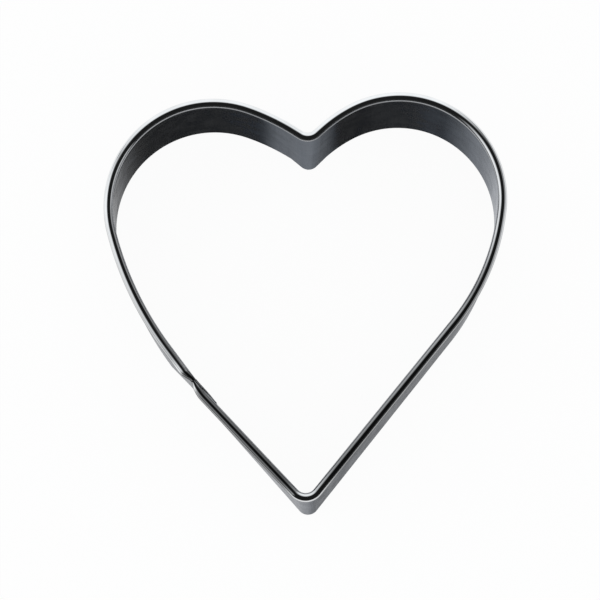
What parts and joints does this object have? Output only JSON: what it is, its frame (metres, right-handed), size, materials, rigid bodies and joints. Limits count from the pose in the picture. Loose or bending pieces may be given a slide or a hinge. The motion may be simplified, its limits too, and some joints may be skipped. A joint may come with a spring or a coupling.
{
  "type": "cookie cutter",
  "caption": "Heart-shaped cookie cutter of polished sheet steel, rolled rim above a thin cutting edge, ends lapped and spot welded.",
  "frame": {"origin": "bottom centre of the bounding box, on the plane of the cutting edge", "axes": "+Z from the cutting edge to the rolled rim, +Y from the tip of the heart to its lobes, +X across it"},
  "size_m": [0.065, 0.0668, 0.022],
  "materials": {
    "polished_steel": "polished, with faint vertical streaks on the walls",
    "weld": "dull, slightly heat tinted"
  },
  "bodies": {
    "root": {"cutter_band": "polished_steel", "upper_weld_nugget": "weld", "middle_weld_nugget": "weld", "lower_weld_nugget": "weld"}
  },
  "joints": []
}
